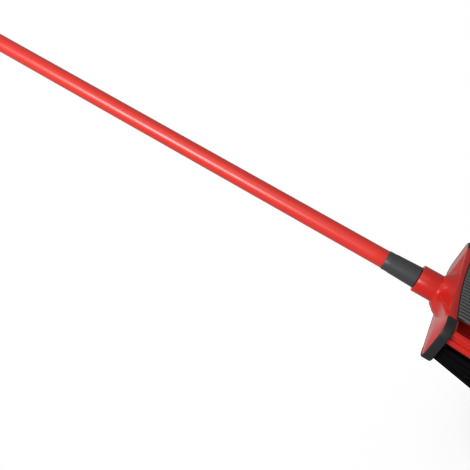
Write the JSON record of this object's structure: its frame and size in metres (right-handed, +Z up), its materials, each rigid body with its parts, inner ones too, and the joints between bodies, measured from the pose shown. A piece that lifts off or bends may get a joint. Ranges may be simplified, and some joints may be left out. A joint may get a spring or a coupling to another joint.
{
  "type": "dust pan and brush set",
  "caption": "Long-handled brush with a comb dustpan clipped upright in front of its bristles, a screw-in handle and a folding pan grip.",
  "frame": {"origin": "centre of the whole set's outline on the floor that the bristle tips stand on; the handle's axis runs through it", "axes": "+Z up along the handle, +X along the brush head, -Y towards the side that the dustpan hangs on"},
  "size_m": [0.2056, 0.0852, 1.081],
  "materials": {
    "red_plastic": "glossy moulded polypropylene, red",
    "tube_paint": "glossy powder coat on thin steel tube, bright red",
    "dark_plastic": "satin dark grey moulded plastic",
    "soft_rubber": "matt dark grey soft-touch rubber",
    "black_plastic": "matt black moulded plastic",
    "bristle": "black synthetic bristles",
    "steel": "plain bright steel"
  },
  "bodies": {
    "head": {"hood": "red_plastic", "bristle_block": "black_plastic", "bristle_row_1": "bristle", "bristle_row_2": "bristle", "bristle_row_3": "bristle", "bristle_row_4": "bristle", "end_bumper_left": "soft_rubber", "end_bumper_right": "soft_rubber", "block_screw_1": "steel", "block_screw_2": "steel", "block_screw_3": "steel", "block_screw_4": "steel", "socket_insert": "black_plastic", "dock_clip_left": "dark_plastic", "dock_clip_right": "dark_plastic"},
    "handle": {"handle_ferrule": "dark_plastic", "handle_tube": "tube_paint", "handle_grip": "soft_rubber", "grip_cap": "dark_plastic", "loop_pin": "steel"},
    "loop": {"hang_loop": "dark_plastic"},
    "pan": {"pan_body": "red_plastic", "pan_lip": "soft_rubber", "pan_comb": "dark_plastic", "dock_bar_left": "steel", "dock_bar_right": "steel", "hinge_pin": "steel"},
    "pan_grip": {"pan_handle": "red_plastic", "pan_handle_pad": "soft_rubber"}
  },
  "joints": [
    {"name": "handle_unscrew", "type": "hinge", "parent": "head", "child": "handle", "pos_m": [0, 0, 0.168], "axis": [0, 0, 1], "continuous": true},
    {"name": "loop_swing", "type": "hinge", "parent": "handle", "child": "loop", "pos_m": [0, 0, 1.036], "axis": [1, 0, 0], "range_deg": [-90, 90]},
    {"name": "pan_undock", "type": "slide", "parent": "head", "child": "pan", "axis": [0, -1, 0], "range_m": [0, 0.12]},
    {"name": "pan_grip_fold", "type": "hinge", "parent": "pan", "child": "pan_grip", "pos_m": [0, -0.0375, 0.098], "axis": [-1, 0, 0], "range_deg": [0, 180]}
  ]
}
